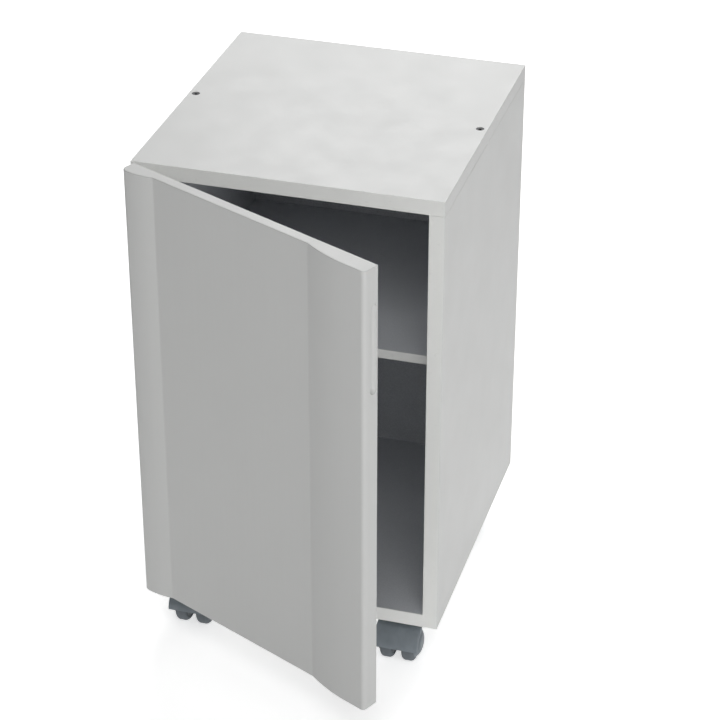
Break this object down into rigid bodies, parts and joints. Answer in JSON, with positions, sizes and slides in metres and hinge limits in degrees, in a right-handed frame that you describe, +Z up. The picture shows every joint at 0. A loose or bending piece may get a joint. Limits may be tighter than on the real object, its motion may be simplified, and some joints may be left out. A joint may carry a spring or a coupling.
{
  "type": "mobile printer stand",
  "caption": "Low cabinet on twin-wheel castors that carries a printer, with a flat top, an inner shelf and a hinged front door with raised vertical rails.",
  "frame": {"origin": "centre of the top panel's upper face, where the printer stands", "axes": "+Z up, -Y out of the front, where the door is, +X to the right seen from the front; the castors roll on the floor at z = -0.665 m"},
  "size_m": [0.3812, 0.5805, 0.665],
  "materials": {
    "melamine_board": "light grey melamine facing with a fine print grain, satin",
    "edge_band": "light grey plastic edge band, satin",
    "back_board": "thin fibreboard with a light grey face",
    "door_foil": "fibreboard door wrapped in light grey foil, fine vertical grain",
    "nickel_steel": "nickel-plated pressed steel",
    "zinc_screw": "zinc-plated steel",
    "dark_screw": "blackened steel",
    "dowel_wood": "fluted beech",
    "bumper": "clear grey soft dot",
    "castor_steel": "zinc-plated steel",
    "castor_plastic": "blue-grey moulded nylon, fine texture",
    "castor_tread": "dark grey soft tread"
  },
  "bodies": {
    "cabinet": {"top_panel": "melamine_board", "bottom_panel": "melamine_board", "left_side_panel": "melamine_board", "right_side_panel": "melamine_board", "back_panel": "back_board", "shelf": "melamine_board", "top_edge_bands": "edge_band", "bottom_edge_bands": "edge_band", "left_side_edge_bands": "edge_band", "right_side_edge_bands": "edge_band", "shelf_edge_band": "edge_band", "shelf_pins": "nickel_steel", "top_connector_screws": "dark_screw", "bottom_connector_screws": "zinc_screw", "dowels": "dowel_wood", "hinge_arms": "nickel_steel", "hinge_arm_pins": "nickel_steel", "hinge_arm_screws": "zinc_screw", "hinge_plates": "nickel_steel", "hinge_plate_screws": "zinc_screw", "castor_screws": "zinc_screw", "front_left_castor_plate": "castor_steel", "front_left_kingpin": "castor_steel", "front_right_castor_plate": "castor_steel", "front_right_kingpin": "castor_steel", "rear_left_castor_plate": "castor_steel", "rear_left_kingpin": "castor_steel", "rear_right_castor_plate": "castor_steel", "rear_right_kingpin": "castor_steel"},
    "hinge_link_pair": {"hinge_links": "nickel_steel"},
    "door": {"door_panel": "door_foil", "hinge_cups": "nickel_steel", "hinge_cup_pins": "nickel_steel", "hinge_cup_screws": "zinc_screw", "door_bumpers": "bumper"},
    "front_left_castor": {"front_left_hood": "castor_plastic", "front_left_axle": "castor_steel"},
    "front_left_outer_roller": {"front_left_outer_wheel": "castor_plastic", "front_left_outer_tyre": "castor_tread"},
    "front_left_inner_roller": {"front_left_inner_wheel": "castor_plastic", "front_left_inner_tyre": "castor_tread"},
    "front_right_castor": {"front_right_hood": "castor_plastic", "front_right_axle": "castor_steel"},
    "front_right_outer_roller": {"front_right_outer_wheel": "castor_plastic", "front_right_outer_tyre": "castor_tread"},
    "front_right_inner_roller": {"front_right_inner_wheel": "castor_plastic", "front_right_inner_tyre": "castor_tread"},
    "rear_left_castor": {"rear_left_hood": "castor_plastic", "rear_left_axle": "castor_steel"},
    "rear_left_outer_roller": {"rear_left_outer_wheel": "castor_plastic", "rear_left_outer_tyre": "castor_tread"},
    "rear_left_inner_roller": {"rear_left_inner_wheel": "castor_plastic", "rear_left_inner_tyre": "castor_tread"},
    "rear_right_castor": {"rear_right_hood": "castor_plastic", "rear_right_axle": "castor_steel"},
    "rear_right_outer_roller": {"rear_right_outer_wheel": "castor_plastic", "rear_right_outer_tyre": "castor_tread"},
    "rear_right_inner_roller": {"rear_right_inner_wheel": "castor_plastic", "rear_right_inner_tyre": "castor_tread"}
  },
  "joints": [
    {"name": "link_swing", "type": "hinge", "parent": "cabinet", "child": "hinge_link_pair", "pos_m": [-0.146, -0.198, -0.3], "axis": [0, 0, -1], "range_deg": [-23.34, 8.34]},
    {"name": "door_swing", "type": "hinge", "parent": "hinge_link_pair", "child": "door", "pos_m": [-0.1746, -0.20977, -0.3], "axis": [0, 0, -1], "range_deg": [-33.33, 93.33]},
    {"name": "front_left_swivel", "type": "hinge", "parent": "cabinet", "child": "front_left_castor", "pos_m": [-0.138, -0.155, -0.61], "axis": [0, 0, 1], "continuous": true},
    {"name": "front_left_outer_roll", "type": "hinge", "parent": "front_left_castor", "child": "front_left_outer_roller", "pos_m": [-0.1545, -0.18, -0.64], "axis": [1, 0, 0], "continuous": true},
    {"name": "front_left_inner_roll", "type": "hinge", "parent": "front_left_castor", "child": "front_left_inner_roller", "pos_m": [-0.1215, -0.18, -0.64], "axis": [1, 0, 0], "continuous": true},
    {"name": "front_right_swivel", "type": "hinge", "parent": "cabinet", "child": "front_right_castor", "pos_m": [0.138, -0.155, -0.61], "axis": [0, 0, 1], "continuous": true},
    {"name": "front_right_outer_roll", "type": "hinge", "parent": "front_right_castor", "child": "front_right_outer_roller", "pos_m": [0.1545, -0.18, -0.64], "axis": [1, 0, 0], "continuous": true},
    {"name": "front_right_inner_roll", "type": "hinge", "parent": "front_right_castor", "child": "front_right_inner_roller", "pos_m": [0.1215, -0.18, -0.64], "axis": [1, 0, 0], "continuous": true},
    {"name": "rear_left_swivel", "type": "hinge", "parent": "cabinet", "child": "rear_left_castor", "pos_m": [-0.138, 0.155, -0.61], "axis": [0, 0, 1], "continuous": true},
    {"name": "rear_left_outer_roll", "type": "hinge", "parent": "rear_left_castor", "child": "rear_left_outer_roller", "pos_m": [-0.1545, 0.13, -0.64], "axis": [1, 0, 0], "continuous": true},
    {"name": "rear_left_inner_roll", "type": "hinge", "parent": "rear_left_castor", "child": "rear_left_inner_roller", "pos_m": [-0.1215, 0.13, -0.64], "axis": [1, 0, 0], "continuous": true},
    {"name": "rear_right_swivel", "type": "hinge", "parent": "cabinet", "child": "rear_right_castor", "pos_m": [0.138, 0.155, -0.61], "axis": [0, 0, 1], "continuous": true},
    {"name": "rear_right_outer_roll", "type": "hinge", "parent": "rear_right_castor", "child": "rear_right_outer_roller", "pos_m": [0.1545, 0.13, -0.64], "axis": [1, 0, 0], "continuous": true},
    {"name": "rear_right_inner_roll", "type": "hinge", "parent": "rear_right_castor", "child": "rear_right_inner_roller", "pos_m": [0.1215, 0.13, -0.64], "axis": [1, 0, 0], "continuous": true}
  ],
  "couplings": [
    {"joint": "link_swing", "follows": "door_swing", "ratio": -0.25}
  ]
}
